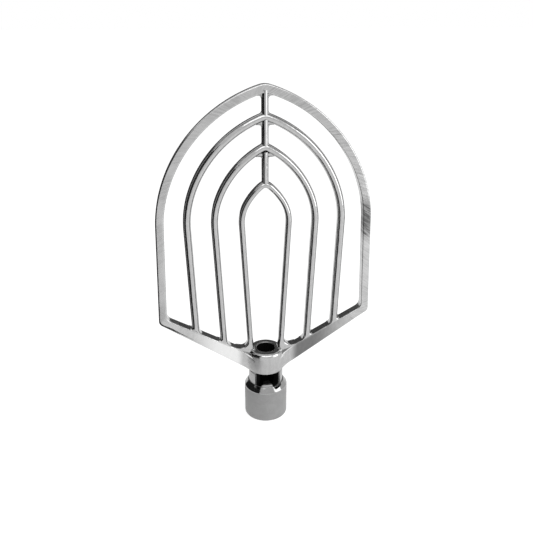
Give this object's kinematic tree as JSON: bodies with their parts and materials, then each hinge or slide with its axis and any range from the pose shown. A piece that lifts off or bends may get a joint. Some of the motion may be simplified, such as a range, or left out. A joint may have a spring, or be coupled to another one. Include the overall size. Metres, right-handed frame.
{
  "type": "mortar mixing paddle",
  "caption": "Leaf-shaped lattice mixing paddle: bevelled outer rail, nested arches on a spine, V arms and a hub with a bayonet drive socket.",
  "frame": {"origin": "centre of the collar's bottom face, on the drive axis", "axes": "+Z along the drive axis from the socket towards the blade's tip, X across the blade, +Y through its thickness, away from the front"},
  "size_m": [0.2058, 0.0432, 0.3289],
  "materials": {
    "cast_blade": "burnished casting",
    "ground_rail": "linished satin faces",
    "turned_collar": "fine turned satin",
    "bush_steel": "reamed steel"
  },
  "bodies": {
    "root": {"collar_ring": "turned_collar", "drive_sleeve": "turned_collar", "hub_boss": "cast_blade", "shaft_bush": "bush_steel", "arm_left": "cast_blade", "arm_right": "cast_blade", "corner_knuckle_left": "ground_rail", "corner_knuckle_right": "ground_rail", "outer_rail_left": "ground_rail", "outer_rail_right": "ground_rail", "outer_arch_left": "cast_blade", "outer_arch_right": "cast_blade", "middle_arch_left": "cast_blade", "middle_arch_right": "cast_blade", "inner_arch_left": "cast_blade", "inner_arch_right": "cast_blade", "crown_lug_outer": "cast_blade", "crown_lug_middle": "cast_blade", "crown_lug_inner": "cast_blade", "tip_block": "ground_rail", "spine_upper": "cast_blade", "spine_middle": "cast_blade", "spine_lower": "cast_blade"}
  },
  "joints": []
}
